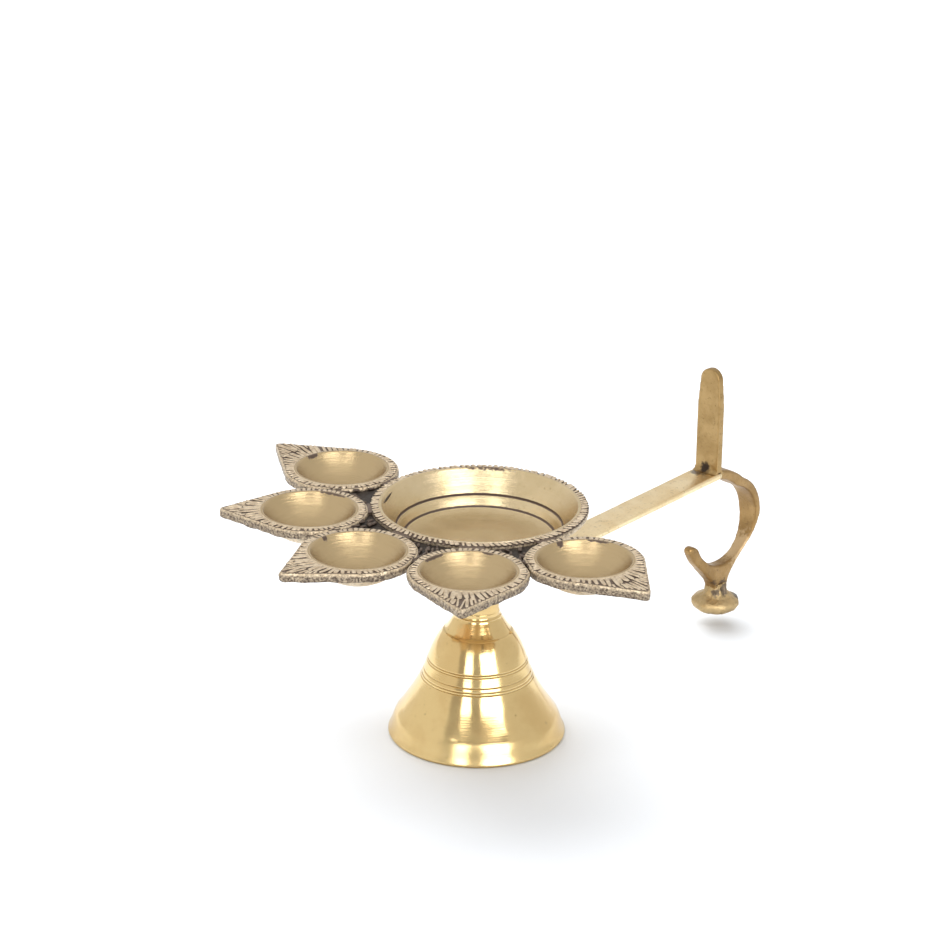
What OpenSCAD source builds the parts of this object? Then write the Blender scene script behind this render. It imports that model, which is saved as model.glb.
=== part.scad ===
// Five-wick hand lamp: a cast tray of one bowl and five petal cups on a bell-shaped stand,
// with a strip handle, a thumb leaf, a finger hook and a foot button.
// Millimetres. +Z up, origin on the table under the stand's axis, +X along the handle.

/* [Stand] */

// radius of the bell stand at the table
bell_mouth_r = 32.5; // [26:0.5:39]
// height of the bell up to the bead under its neck
bell_height = 45; // [38:0.5:54]
// length of the plain neck above the bead
neck_length = 12; // [10.5:0.5:16]
// radius of the neck
neck_r = 7.6; // [6.5:0.1:10]
// wall thickness of the bell
bell_wall = 2.6; // [2:0.1:3.5]

/* [Screw joint] */

// radius of the threaded stud, over its thread
stud_r = 4; // [3:0.1:4.8]
// radial play between the stud and the neck's threaded bore
thread_play = 0.05; // [0.02:0.01:0.1]
// advance of the thread in one turn
thread_pitch = 1.25; // [1:0.05:1.5]
// number of turns that free the stand from the stud
thread_turns = 7; // [6:1:8]
// thickness of the packing washer
washer_thick = 1; // [0.6:0.1:1.5]

/* [Tray] */

// inside radius of the centre bowl at its rim
bowl_r = 35.4; // [32:0.2:38]
// depth of the centre bowl
bowl_depth = 14.6; // [12.2:0.2:17.6]
// wall thickness of the centre bowl
bowl_wall = 3; // [2.5:0.1:3.6]
// distance from the axis to each cup's centre
cup_circle_r = 61; // [59:0.5:64]
// angle between neighbouring cups
cup_pitch = 40; // [38:0.5:44]
// inside radius of each cup at its rim
cup_r = 16.6; // [13.8:0.2:19.9]
// depth of each cup
cup_depth = 9.6; // [8:0.2:11.6]
// wall thickness of the cups under the plate
cup_wall = 2.4; // [2:0.1:3]
// width of the notched rim round each cup
cup_rim = 4.8; // [4.4:0.1:6]
// distance from a cup's centre to its petal's tip, before each petal's own unevenness
petal_reach = 34; // [30:0.5:41]
// thickness of the tray's plate
plate_thick = 3; // [2.5:0.1:3.6]
// depth of the pockets between the rims
pocket_depth = 1.4; // [0.8:0.1:1.6]
// height of the boss under the centre bowl
boss_height = 11.4; // [9.5:0.2:13.6]
// radius of the boss
boss_r = 9; // [8.4:0.1:11]

/* [Handle] */

// width of the handle's strip
arm_width = 12; // [10:0.5:14.4]
// thickness of the handle's strip
arm_thick = 2.5; // [2.1:0.1:3]
// distance from the axis to the arm's end
arm_reach = 130; // [115:0.5:156]
// rise of the arm from the eye to its end
arm_rise = 6.6; // [5.5:0.1:8]
// height of the thumb leaf above the arm
leaf_height = 41.8; // [35:0.5:50]
// width of the thumb leaf
leaf_width = 11; // [9:0.5:13.2]
// thickness of the thumb leaf
leaf_thick = 3; // [2.5:0.1:3.6]
// inside radius of the finger hook
hook_r = 16.3; // [14:0.1:18]
// width of the finger hook where it leaves the arm
hook_width = 10; // [8.4:0.2:12]
// radius of the foot button
button_r = 9.7; // [8:0.1:11.6]
// thickness of the foot button's rim
button_thick = 5; // [4:0.1:6]

/* [Hidden] */

$fn = 72;

// heights of the stack, from the table up
neck_top = bell_height + neck_length;
arm_bottom = neck_top + washer_thick;
arm_top = arm_bottom + arm_thick;
bowl_bottom = arm_top + boss_height;
rim_z = bowl_bottom + bowl_wall + bowl_depth;
plate_z = rim_z - plate_thick;

// the stud and what holds it
stud_engaged = thread_pitch * thread_turns;
stud_low = neck_top - stud_engaged;
stud_high = bowl_bottom - 1.5;
bore_low = stud_low - 1.2;
spigot_r = stud_r + 2.5;
fit_gap = 0.02;

// the cups
cup_ball_r = (cup_r * cup_r + cup_depth * cup_depth) / (2 * cup_depth);
cup_ball_z = rim_z - cup_depth + cup_ball_r;
petal_r = cup_r + cup_rim;
tip_r = 1.5;
bowl_rim_r = bowl_r + 3.8;

// each petal's extra reach and lean in degrees, as the hand-made pattern left them
petal_unevenness = [[2, -11], [-1.5, -7], [-0.5, -8], [-0.5, 0], [1, 1]];

// the handle's far end
arm_end_top = arm_top + arm_rise;
hook_x = arm_reach + 7.5;
hook_z = arm_end_top - 25.1;
foot_top = hook_z - 27.5;
foot_x = hook_x - 1.4;

// bell radius at the height share t of the flared part, a smooth curve with set end slopes
function bell_curve(t, r0, s0, r1, s1) =
    (2 * t * t * t - 3 * t * t + 1) * r0 + (t * t * t - 2 * t * t + t) * s0
    + (3 * t * t - 2 * t * t * t) * r1 + (t * t * t - t * t) * s1;

lip_h = 0.18 * bell_height;
waist_h = 0.64 * bell_height;
shoulder_h = 0.92 * bell_height;
lip_r = 0.905 * bell_mouth_r;
waist_r = 0.568 * bell_mouth_r;
shoulder_r = 0.365 * bell_mouth_r;
steps = 12;

flare = [for (i = [0 : steps])
    [bell_curve(i / steps, lip_r, -0.74 * (waist_h - lip_h), waist_r, -0.3 * (waist_h - lip_h)),
     lip_h + (waist_h - lip_h) * i / steps]];
crown = [for (i = [0 : steps])
    [bell_curve(i / steps, waist_r, -0.36 * (shoulder_h - waist_h), shoulder_r, -0.9 * (shoulder_h - waist_h)),
     waist_h + (shoulder_h - waist_h) * i / steps]];

// the stand's outside, from the table to the neck's top
module bell_outside() {
    polygon(concat(
        [[0, 0], [bell_mouth_r - 0.6, 0], [bell_mouth_r, 0.6], [bell_mouth_r - 0.7, 2], [bell_mouth_r - 1.7, 5], [lip_r + 0.3, lip_h - 0.4]],
        flare,
        crown,
        [[shoulder_r - 0.6, shoulder_h + 0.2], [neck_r + 1.9, bell_height - 1.2], [neck_r + 0.8, bell_height - 0.7]],
        [[neck_r + 0.9, bell_height], [neck_r + 0.3, bell_height + 0.7], [neck_r, bell_height + 1.6], [neck_r, neck_top - 0.4], [neck_r - 0.4, neck_top], [0, neck_top]]
    ));
}

// the stand's hollow, one wall inside the flared curves
module bell_inside() {
    polygon(concat(
        [[0, -1], [bell_mouth_r - bell_wall, -1], [bell_mouth_r - bell_wall, 0.01], [lip_r - bell_wall, lip_h]],
        [for (i = [1 : steps]) [flare[i][0] - bell_wall, flare[i][1]]],
        [for (i = [1 : 8]) [crown[i][0] - bell_wall, crown[i][1]]],
        [[crown[8][0] - bell_wall - 3, crown[9][1]], [0, crown[9][1]]]
    ));
}

// one of the two lathe-cut grooves, a square ring sunk into the flare
module bell_groove(height) {
    t = (height - lip_h) / (waist_h - lip_h);
    r = bell_curve(t, lip_r, -0.74 * (waist_h - lip_h), waist_r, -0.3 * (waist_h - lip_h));
    translate([0, 0, height - 0.25])
        difference() {
            cylinder(h = 0.5, r = r + 3);
            translate([0, 0, -1]) cylinder(h = 2.5, r = r - 0.35);
        }
}

module bell_stand() {
    color([0.86, 0.68, 0.34])
        difference() {
            rotate_extrude() bell_outside();
            rotate_extrude() bell_inside();
            translate([0, 0, bore_low]) cylinder(h = neck_top, r = stud_r + thread_play);
            bell_groove(0.53 * bell_height);
            bell_groove(0.63 * bell_height);
        }
}

module packing_washer() {
    color([0.55, 0.44, 0.28])
        translate([0, 0, neck_top])
            difference() {
                cylinder(h = washer_thick, r = neck_r + 0.9);
                translate([0, 0, -1]) cylinder(h = washer_thick + 2, r = stud_r + 0.3);
            }
}

module threaded_stud() {
    color([0.75, 0.6, 0.33])
        translate([0, 0, stud_low])
            union() {
                translate([0, 0, 0.8]) cylinder(h = stud_high - stud_low - 0.8, r = stud_r);
                cylinder(h = 0.8, r1 = stud_r - 0.8, r2 = stud_r);
            }
}

// one petal's outline round its cup: a ring circle drawn out to a rounded tip
module petal_outline(reach) {
    tip_x = reach - tip_r;
    turn = acos((petal_r - tip_r) / tip_x);
    circle(r = petal_r);
    translate([tip_x, 0]) circle(r = tip_r, $fn = 24);
    polygon([
        [0, 0],
        [petal_r * cos(turn), petal_r * sin(turn)],
        [tip_x + tip_r * cos(turn), tip_r * sin(turn)],
        [tip_x + tip_r * cos(turn), -tip_r * sin(turn)],
        [petal_r * cos(turn), -petal_r * sin(turn)]
    ]);
}

// the five petals, in order from the one on the +Y side
module petals() {
    for (i = [0 : 4])
        rotate([0, 0, 180 + (i - 2) * cup_pitch])
            translate([cup_circle_r, 0])
                rotate([0, 0, petal_unevenness[i][1]])
                    petal_outline(petal_reach + petal_unevenness[i][0]);
}

// places its children at each of the five cups
module at_cups() {
    for (i = [-2 : 2])
        rotate([0, 0, 180 + i * cup_pitch]) translate([cup_circle_r, 0, 0]) children();
}

// the web that joins the rims, as wide as the fan of cups
module web_outline() {
    reach = cup_circle_r + 2;
    difference() {
        union() {
            circle(r = bowl_rim_r);
            for (i = [-1.5 : 1 : 1.5])
                rotate([0, 0, 180 + i * cup_pitch])
                    polygon([[20, -14], [reach * cos(cup_pitch / 2), -3], [reach * cos(cup_pitch / 2), 3], [20, 14]]);
        }
        circle(r = bowl_r - 4);
    }
}

module bowl_outside() {
    polygon([
        [0, 0], [bowl_r - 14, 0], [bowl_r - 11, 0.5], [bowl_r - 8.6, 1.6], [bowl_r - 7, 3],
        [bowl_r + 1, bowl_wall + bowl_depth - plate_thick], [bowl_rim_r, bowl_wall + bowl_depth - plate_thick],
        [bowl_rim_r, bowl_wall + bowl_depth], [0, bowl_wall + bowl_depth]
    ]);
}

module bowl_inside() {
    floor_z = bowl_wall;
    polygon([
        [0, floor_z], [bowl_r - 16, floor_z + 0.3], [bowl_r - 12, floor_z + 0.9], [bowl_r - 9.6, floor_z + 1.7],
        [bowl_r - 8, floor_z + 2.5], [bowl_r, floor_z + bowl_depth], [bowl_r, floor_z + bowl_depth + 2],
        [0, floor_z + bowl_depth + 2]
    ]);
}

module tray_casting() {
    color([0.8, 0.68, 0.5])
        difference() {
            union() {
                translate([0, 0, bowl_bottom]) rotate_extrude() bowl_outside();
                translate([0, 0, plate_z]) linear_extrude(height = plate_thick - pocket_depth) web_outline();
                translate([0, 0, plate_z]) linear_extrude(height = plate_thick) petals();
                at_cups() translate([bowl_rim_r - cup_circle_r - 1, -4, plate_z]) cube([cup_circle_r - bowl_rim_r - petal_r + 2, 8, plate_thick]);
                at_cups()
                    intersection() {
                        translate([0, 0, cup_ball_z]) sphere(r = cup_ball_r + cup_wall);
                        translate([0, 0, rim_z - 25]) cylinder(h = 24, r = petal_r);
                    }
                translate([0, 0, arm_top]) cylinder(h = boss_height + 1, r = boss_r);
                translate([0, 0, arm_bottom]) cylinder(h = arm_thick + 1, r = spigot_r);
            }
            translate([0, 0, bowl_bottom]) rotate_extrude() bowl_inside();
            at_cups() translate([0, 0, cup_ball_z]) sphere(r = cup_ball_r);
            translate([0, 0, arm_bottom - 1]) cylinder(h = stud_high - arm_bottom + 1.5, r = stud_r + fit_gap);
        }
}

// the strip's side view, from the eye to its far end
module arm_side() {
    bend = boss_r + 14;
    polygon([
        [0, arm_bottom], [bend - 1, arm_bottom], [bend + 3, arm_bottom + 0.15],
        [arm_reach, arm_end_top - arm_thick], [arm_reach, arm_end_top],
        [bend + 3, arm_top + 0.15], [bend - 1, arm_top], [0, arm_top]
    ]);
}

module handle_arm() {
    color([0.82, 0.66, 0.4])
        difference() {
            union() {
                translate([0, arm_width / 2, 0]) rotate([90, 0, 0]) linear_extrude(height = arm_width) arm_side();
                translate([0, 0, arm_bottom]) cylinder(h = arm_thick, r = boss_r);
            }
            translate([0, 0, arm_bottom - 1]) cylinder(h = arm_thick + 2, r = spigot_r + fit_gap);
        }
}

module thumb_leaf() {
    half = leaf_width / 2;
    end_r = half - 0.9;
    color([0.78, 0.6, 0.36])
        translate([arm_reach, 0, arm_end_top])
            rotate([90, 0, -90])
                linear_extrude(height = leaf_thick)
                    union() {
                        translate([0, leaf_height - end_r]) circle(r = end_r);
                        polygon([
                            [-half, 0], [half, 0], [half, leaf_height - 14],
                            [end_r, leaf_height - end_r], [-end_r, leaf_height - end_r], [-half, leaf_height - 14]
                        ]);
                    }
}

// the hook's side view, about the centre of the finger gap: the bridge from the arm's end, the
// round back, the neck over the foot, and the horn
module hook_side() {
    back_r = hook_r + 2.1;
    join_x = arm_reach - hook_x;
    join_z = arm_end_top - hook_z;
    difference() {
        polygon(concat(
            [[join_x, join_z - arm_thick - 0.6], [join_x, join_z - 0.1], [join_x + 1.5, join_z + 0.4]],
            [[-2.5, hook_r + 8.4], [1.5, hook_r + 6.6], [4.6, hook_r + 4.8]],
            [for (a = [66 : -8 : -38]) [0.5 + back_r * cos(a), 1.7 + back_r * sin(a)]],
            [[11.2, -14], [8, -17], [5, -20.2], [3, -23.2], [2.3, -27.5], [-5, -27.5], [-5.3, -25], [-7, -22]],
            [[-10.5, -18.4], [-16.8, -12], [-20.2, -7], [-20.6, -5.4], [-19.4, -4.2], [-17.2, -4.4], [-15, -6]],
            [[0, 0], [4.4, hook_r - 0.7], [1.5, hook_r + 1.6], [-2.5, hook_r + 3.9]]
        ));
        circle(r = hook_r);
    }
}

// the hook is 10 wide under the arm and thins towards its horn and its foot
module finger_hook() {
    half = hook_width / 2;
    color([0.8, 0.63, 0.38])
        translate([hook_x, 0, hook_z])
            intersection() {
                translate([0, 20, 0]) rotate([90, 0, 0]) linear_extrude(height = 40) hook_side();
                rotate([90, 0, 90]) translate([0, 0, -40]) linear_extrude(height = 80)
                    polygon([[-half, 40], [-half, 2], [-half + 2.2, -14], [-half + 2, -40], [half - 2, -40], [half - 2.2, -14], [half, 2], [half, 40]]);
                translate([0, 0, -40]) linear_extrude(height = 80)
                    polygon([[-8, -half], [30, -half], [30, half], [-8, half], [-12, half - 2.4], [-24, 1.7], [-24, -1.7], [-12, -half + 2.4]]);
            }
}

module foot_button() {
    color([0.8, 0.63, 0.38])
        translate([foot_x, 0, foot_top])
            rotate_extrude()
                polygon([
                    [0, 0], [3.6, 0], [4.2, -0.6], [button_r - 1.6, -2.6], [button_r, -3.8],
                    [button_r - 0.3, -1.2 - button_thick], [button_r - 2.4, -3 - button_thick], [0, -3 - button_thick]
                ]);
}

tray_casting();
threaded_stud();
packing_washer();
bell_stand();
handle_arm();
thumb_leaf();
finger_hook();
foot_button();
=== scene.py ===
import math
import random

import bmesh
import bpy
from mathutils import Matrix, Vector, noise


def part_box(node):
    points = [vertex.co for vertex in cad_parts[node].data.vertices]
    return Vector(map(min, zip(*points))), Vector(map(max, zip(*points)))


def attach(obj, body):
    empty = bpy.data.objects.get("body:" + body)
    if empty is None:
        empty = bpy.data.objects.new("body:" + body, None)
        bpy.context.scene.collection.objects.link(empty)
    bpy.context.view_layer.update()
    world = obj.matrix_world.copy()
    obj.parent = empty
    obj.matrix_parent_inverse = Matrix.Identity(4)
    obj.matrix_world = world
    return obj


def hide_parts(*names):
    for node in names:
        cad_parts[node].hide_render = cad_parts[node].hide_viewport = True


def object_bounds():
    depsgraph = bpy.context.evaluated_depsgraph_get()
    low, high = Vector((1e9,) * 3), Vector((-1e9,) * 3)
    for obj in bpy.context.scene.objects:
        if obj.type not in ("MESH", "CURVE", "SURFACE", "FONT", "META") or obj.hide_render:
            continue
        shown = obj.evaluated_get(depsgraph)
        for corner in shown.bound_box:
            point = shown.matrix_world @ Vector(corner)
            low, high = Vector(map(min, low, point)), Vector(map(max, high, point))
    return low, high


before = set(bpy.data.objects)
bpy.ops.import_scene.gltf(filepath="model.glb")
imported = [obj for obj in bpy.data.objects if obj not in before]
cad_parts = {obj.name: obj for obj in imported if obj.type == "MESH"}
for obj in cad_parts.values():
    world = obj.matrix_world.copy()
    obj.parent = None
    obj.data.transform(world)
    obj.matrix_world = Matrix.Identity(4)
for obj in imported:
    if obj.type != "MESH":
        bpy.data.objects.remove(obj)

mm = 0.001
cad_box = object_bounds()
scene = bpy.context.scene


# The viewpoint: a long lens a little above the rims, with the handle running away to the
# right. The lens is level to within a degree.
def toward(turn, rise):
    """The direction from the lamp to a place at a turn from the front and a rise."""
    return Vector(
        (math.sin(turn) * math.cos(rise), -math.cos(turn) * math.cos(rise), math.sin(rise)),
    )


view_turn, view_rise, view_roll = math.radians(-46.47), math.radians(21.43), math.radians(0.77)
back = toward(view_turn, view_rise)
level = Vector((math.cos(view_turn), math.sin(view_turn), 0))
plumb = back.cross(level)
across = level * math.cos(view_roll) + plumb * math.sin(view_roll)
upright = plumb * math.cos(view_roll) - level * math.sin(view_roll)
lens = bpy.data.cameras.new("camera")
lens.sensor_width = 36
lens.lens = 127.34
lens.clip_start, lens.clip_end = 0.05, 30
camera = bpy.data.objects.new("camera", lens)
scene.collection.objects.link(camera)
aim, side_shift, up_shift, eye_distance = Vector((0, 0, 50 * mm)), 3.0, 48.74, 1204.9
eye = aim - across * side_shift * mm + upright * up_shift * mm + back * eye_distance * mm
axes = Matrix((across, upright, back)).transposed().to_4x4()
camera.matrix_world = Matrix.Translation(eye) @ axes
scene.camera = camera


# Bell stand: a thin hollow brass bell with a plain neck, cast, turned on a lathe and polished.
# Five fine lines are scribed round its flare, and the neck is bored and tapped for the stud.
def fill(tree, socket, value):
    """Links a socket to another one, or sets it to a plain value."""
    if isinstance(value, bpy.types.NodeSocket):
        tree.links.new(value, socket)
    else:
        socket.default_value = value


def wired(tree, kind, sockets=None, **settings):
    """Adds one node, sets its options and fills its sockets with values or links."""
    made = tree.nodes.new(kind)
    for option, value in settings.items():
        setattr(made, option, value)
    for socket, value in (sockets or {}).items():
        fill(tree, made.inputs[socket], value)
    return made


def maths(tree, operation, *values):
    """One sum on up to three numbers or sockets."""
    return wired(tree, "ShaderNodeMath", dict(enumerate(values)), operation=operation).outputs[0]


def ramp(tree, value, start, full, low=0.0, high=1.0, kind="LINEAR"):
    """Runs from low to high while the value runs from start to full."""
    ends = {"Value": value, "From Min": start, "From Max": full, "To Min": low, "To Max": high}
    return wired(tree, "ShaderNodeMapRange", ends, interpolation_type=kind).outputs["Result"]


def cloudy(tree, place, scale, detail):
    """Layered noise at a place, about 0.5 on average."""
    sockets = {"Vector": place, "Scale": scale, "Detail": detail}
    return wired(tree, "ShaderNodeTexNoise", sockets).outputs["Fac"]


def effect(name, inputs, outputs):
    """An empty shader group with named sockets, shared by several finishes."""
    tree = bpy.data.node_groups.new(name, "ShaderNodeTree")
    for label, kind, value in inputs:
        socket = tree.interface.new_socket(label, in_out="INPUT", socket_type=kind)
        if value is not None:
            socket.default_value = value
    for label, kind in outputs:
        tree.interface.new_socket(label, in_out="OUTPUT", socket_type=kind)
    return tree, tree.nodes.new("NodeGroupInput").outputs, tree.nodes.new("NodeGroupOutput").inputs


VECTOR, NUMBER = "NodeSocketVector", "NodeSocketFloat"

# tarnish in patches: a soft-edged mask from layered noise
patches, given, put = effect(
    "tarnish_patches",
    [
        ("Place", VECTOR, None), ("Scale", NUMBER, 100.0), ("From", NUMBER, 0.45),
        ("To", NUMBER, 0.65), ("Detail", NUMBER, 5.0),
    ],
    [("Mask", NUMBER)],
)
cloud = wired(
    patches, "ShaderNodeTexNoise",
    {
        "Vector": given["Place"], "Scale": given["Scale"], "Detail": given["Detail"],
        "Roughness": 0.6,
    },
)
span = ramp(patches, cloud.outputs["Fac"], given["From"], given["To"], kind="SMOOTHSTEP")
patches.links.new(span, put["Mask"])

# tool rings: fine lathe lines at a distance measured along the turned profile
rings, given, put = effect(
    "tool_rings",
    [("Distance", NUMBER, 0.0), ("Lines per metre", NUMBER, 1500.0)],
    [("Height", NUMBER)],
)
along = maths(rings, "MULTIPLY", given["Distance"], given["Lines per metre"])
cuts = wired(
    rings, "ShaderNodeTexNoise", {"W": along, "Scale": 1.0, "Detail": 3.0, "Roughness": 0.65},
    noise_dimensions="1D",
)
rings.links.new(cuts.outputs["Fac"], put["Height"])

# a local stain: 1 at a place on the piece, fading with a ragged edge
stain, given, put = effect(
    "local_stain",
    [
        ("Place", VECTOR, None), ("Centre", VECTOR, None), ("Radius", NUMBER, 0.003),
        ("Raggedness", NUMBER, 0.5),
    ],
    [("Mask", NUMBER)],
)
gap = wired(
    stain, "ShaderNodeVectorMath", {0: given["Place"], 1: given["Centre"]}, operation="DISTANCE",
)
share = maths(stain, "DIVIDE", gap.outputs["Value"], given["Radius"])
push = maths(stain, "SUBTRACT", cloudy(stain, given["Place"], 700.0, 4.0), 0.5)
push = maths(stain, "MULTIPLY_ADD", push, given["Raggedness"], share)
stain.links.new(ramp(stain, push, 1.0, 0.45, kind="SMOOTHSTEP"), put["Mask"])


def use(tree, group, **sockets):
    """Places one of the shared effects with its own values."""
    named = {label.replace("_", " "): value for label, value in sockets.items()}
    return wired(tree, "ShaderNodeGroup", named, node_tree=group).outputs


def patchy(tree, place, scale, start, full, detail):
    """The mask of the tarnish patches, at a scale."""
    return use(tree, patches, Place=place, Scale=scale, From=start, To=full, Detail=detail)["Mask"]


def stained(tree, place, centre, radius, raggedness):
    """The mask of one stain, centred on a point of the piece."""
    spot = use(tree, stain, Place=place, Centre=centre, Radius=radius, Raggedness=raggedness)
    return spot["Mask"]


def blend(tree, mask, first, second):
    """Mixes two colours by a mask; a colour may be a socket or red, green, blue."""
    first, second = [
        value if isinstance(value, bpy.types.NodeSocket) else (*value, 1)
        for value in (first, second)
    ]
    return wired(
        tree, "ShaderNodeMix", {"Factor": mask, 6: first, 7: second}, data_type="RGBA",
    ).outputs[2]


def finish(name):
    """A new material: its tree, its shader and the piece's own coordinates."""
    made = bpy.data.materials.new(name)
    made.use_nodes = True
    tree = made.node_tree
    place = wired(tree, "ShaderNodeTexCoord").outputs["Object"]
    return made, tree, tree.nodes["Principled BSDF"], place


def marked(tree, label):
    """A value kept on the mesh's points under a label."""
    return wired(tree, "ShaderNodeAttribute", attribute_name=label).outputs["Fac"]


def metal(tree, shader, colour, roughness, metallic=1.0):
    """Gives the shader its colour, its roughness and how metallic it is."""
    for label, value in (("Base Color", colour), ("Roughness", roughness), ("Metallic", metallic)):
        fill(tree, shader.inputs[label], value)


def bumped(tree, shader, *layers):
    """Stacks bump layers of (height, strength, distance) on the shader, the broadest first."""
    below = {}
    for height, strength, distance in layers:
        bump = wired(
            tree, "ShaderNodeBump",
            {"Height": height, "Strength": strength, "Distance": distance, **below},
        )
        below = {"Normal": bump.outputs["Normal"]}
    fill(tree, shader.inputs["Normal"], below["Normal"])


polished_brass, tree, shader, place = finish("polished_brass")
height = wired(tree, "ShaderNodeSeparateXYZ", {0: place}).outputs["Z"]
colour = blend(
    tree, patchy(tree, place, 45.0, 0.4, 0.62, 4.0), (0.76, 0.56, 0.262), (0.70, 0.495, 0.22),
)
specks = patchy(tree, place, 900.0, 0.66, 0.75, 3.0)
colour = blend(tree, specks, colour, (0.45, 0.31, 0.13))
orange = maths(tree, "MULTIPLY", stained(tree, place, (-0.0105, -0.0027, 0.0425), 0.0040, 1.4), 0.5)
colour = blend(tree, orange, colour, (0.80, 0.44, 0.15))
pit = stained(tree, place, (0.008, -0.0285, 0.0100), 0.0016, 0.9)
colour = blend(tree, pit, colour, (0.30, 0.20, 0.10))
# dirt in the scribed lines, and a painted dark reflection of the tray's underside at the step above
# the flare
colour = blend(tree, marked(tree, "groove"), colour, (0.40, 0.275, 0.115))
smear = patchy(tree, place, 70.0, 0.35, 0.7, 3.0)
lip = ramp(tree, height, 0.0084, 0.0076, 0.0, 0.09)
metal(tree, shader, colour, maths(tree, "ADD", ramp(tree, smear, 0.0, 1.0, 0.10, 0.18), lip))
lathe = use(tree, rings, Distance=height, Lines_per_metre=2200.0)["Height"]
bumped(tree, shader, (cloudy(tree, place, 75.0, 1.5), 1.0, 0.00035), (lathe, 0.35, 0.00005))


def closed_mesh(name, points, faces, materials, which=None, sharp=40, marks=None):
    """A mesh object at the origin from points in millimetres. The marks are kept on its points."""
    mesh = bpy.data.meshes.new(name)
    mesh.from_pydata([(x * mm, y * mm, z * mm) for x, y, z in points], [], faces)
    for label, values in (marks or {}).items():
        mesh.attributes.new(label, "FLOAT", "POINT").data.foreach_set("value", values)
    for material in materials:
        mesh.materials.append(material)
    if which:
        mesh.polygons.foreach_set("material_index", which)
    work = bmesh.new()
    work.from_mesh(mesh)
    bmesh.ops.recalc_face_normals(work, faces=work.faces)
    work.to_mesh(mesh)
    work.free()
    mesh.polygons.foreach_set("use_smooth", [True] * len(mesh.polygons))
    mesh.set_sharp_from_angle(angle=math.radians(sharp))
    piece = bpy.data.objects.new(name, mesh)
    scene.collection.objects.link(piece)
    return piece


def turned(outline, around, radius=lambda r, z, turn: r):
    """Spins an outline of (radius, height) about the axis. An outline that starts and ends on
    the axis gets poles; any other is joined end to end."""
    points, faces, rows = [], [], []
    for r, z in outline:
        if r < 1e-6:
            rows.append([len(points)])
            points.append((0, 0, z))
        else:
            rows.append([len(points) + i for i in range(around)])
            for i in range(around):
                turn = 2 * math.pi * i / around
                rr = radius(r, z, turn)
                points.append((rr * math.cos(turn), rr * math.sin(turn), z))
    pairs = list(zip(rows, rows[1:]))
    if len(rows[0]) > 1 and len(rows[-1]) > 1:
        pairs.append((rows[-1], rows[0]))
    for low, high in pairs:
        for i in range(around):
            j = (i + 1) % around
            if len(low) == 1:
                faces.append((low[0], high[i], high[j]))
            elif len(high) == 1:
                faces.append((low[i], low[j], high[0]))
            else:
                faces.append((low[i], low[j], high[j], high[i]))
    return points, faces


def eased(t, r0, s0, r1, s1):
    """A smooth curve from r0 to r1 with the slopes s0 and s1 at its ends."""
    leaving = (2 * t**3 - 3 * t**2 + 1) * r0 + (t**3 - 2 * t**2 + t) * s0
    return leaving + (3 * t**2 - 2 * t**3) * r1 + (t**3 - t**2) * s1


# the flare is two curves: from foot to bend, and from bend to shoulder
FLARE_FOOT, FLARE_BEND, LOWER_RISE, UPPER_RISE, BEND_RADIUS = 8.1, 28.8, 20.7, 12.6, 18.46
BELL_WALL = 2.6


def bell_radius(z):
    """The flare's outside radius at a height."""
    if z <= FLARE_BEND:
        return eased((z - FLARE_FOOT) / LOWER_RISE, 29.41, -15.3, BEND_RADIUS, -6.2)
    return eased((z - FLARE_BEND) / UPPER_RISE, BEND_RADIUS, -4.5, 11.86, -11.3)


LINES, LINE_HALF, LINE_DEPTH = [22.8, 23.7, 25.3, 28.8, 29.6], 0.22, 0.2
line_levels = [z + d for z in LINES for d in (-LINE_HALF, 0, LINE_HALF)]
levels = sorted(set([FLARE_FOOT + 0.45 * i for i in range(75)] + line_levels))
levels = [z for z in levels if z in line_levels or min(abs(z - s) for s in LINES) > 0.3]
levels = [z for z in levels if z <= 40.3]
outside = [(bell_radius(z) - (LINE_DEPTH if z in LINES else 0), z) for z in levels]
inside = [(bell_radius(z) - BELL_WALL, z) for z in [36.5 - 1.2 * i for i in range(24)]]
bell_outline = (
    [(0, 38.25), (6, 38.25), (9.2, 37.9), (10.6, 37.3)]
    + inside
    + [
        (27.3, 7.4), (29.6, 0.5), (29.9, 0.1), (30.2, 0), (31.7, 0), (32.2, 0.15), (32.45, 0.5),
        (32.45, 0.9), (32.2, 1.4), (31.8, 2.1), (31.3, 3.4), (30.8, 5), (30.2, 6.6), (29.75, 7.6),
        (29.5, 7.95),
    ]
    + outside
    + [
        (12.6, 40.5), (12.3, 40.65), (11.9, 41.0), (11.4, 41.7), (10.75, 42.7), (10.1, 43.8),
        (9.5, 44.8), (8.95, 45.7), (8.5, 46.45), (8.5, 46.65), (8.25, 46.85), (7.95, 47.3),
        (7.8, 48.0), (7.9, 48.35), (7.75, 48.7), (7.6, 49.6), (7.55, 51), (7.55, 54), (7.6, 56.4),
        (7.5, 56.8), (7.2, 57),
    ]
    + [(4.5, 57), (4.1, 56.6), (4.05, 56.2), (4.05, 47.05), (0, 47.05)]
)
points, faces = turned(bell_outline, around=160)
line_dirt_and_step_reflection = []  # dirt lies in the scribed lines; the dark at the step above the flare is a painted dark reflection of the tray's underside
for x, y, z in points:
    r = math.hypot(x, y)
    cut = 22 < z < 30 and 0.12 < bell_radius(z) - r < 0.5
    line_dirt_and_step_reflection.append(0.65 if cut else 0.4 if abs(z - 40.6) < 0.1 and r > 12 else 0.0)
bell = closed_mesh(
    "bell_stand_turned", points, faces, [polished_brass], sharp=50, marks={"groove": line_dirt_and_step_reflection},
)
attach(bell, "stand")
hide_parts("bell_stand")


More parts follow.
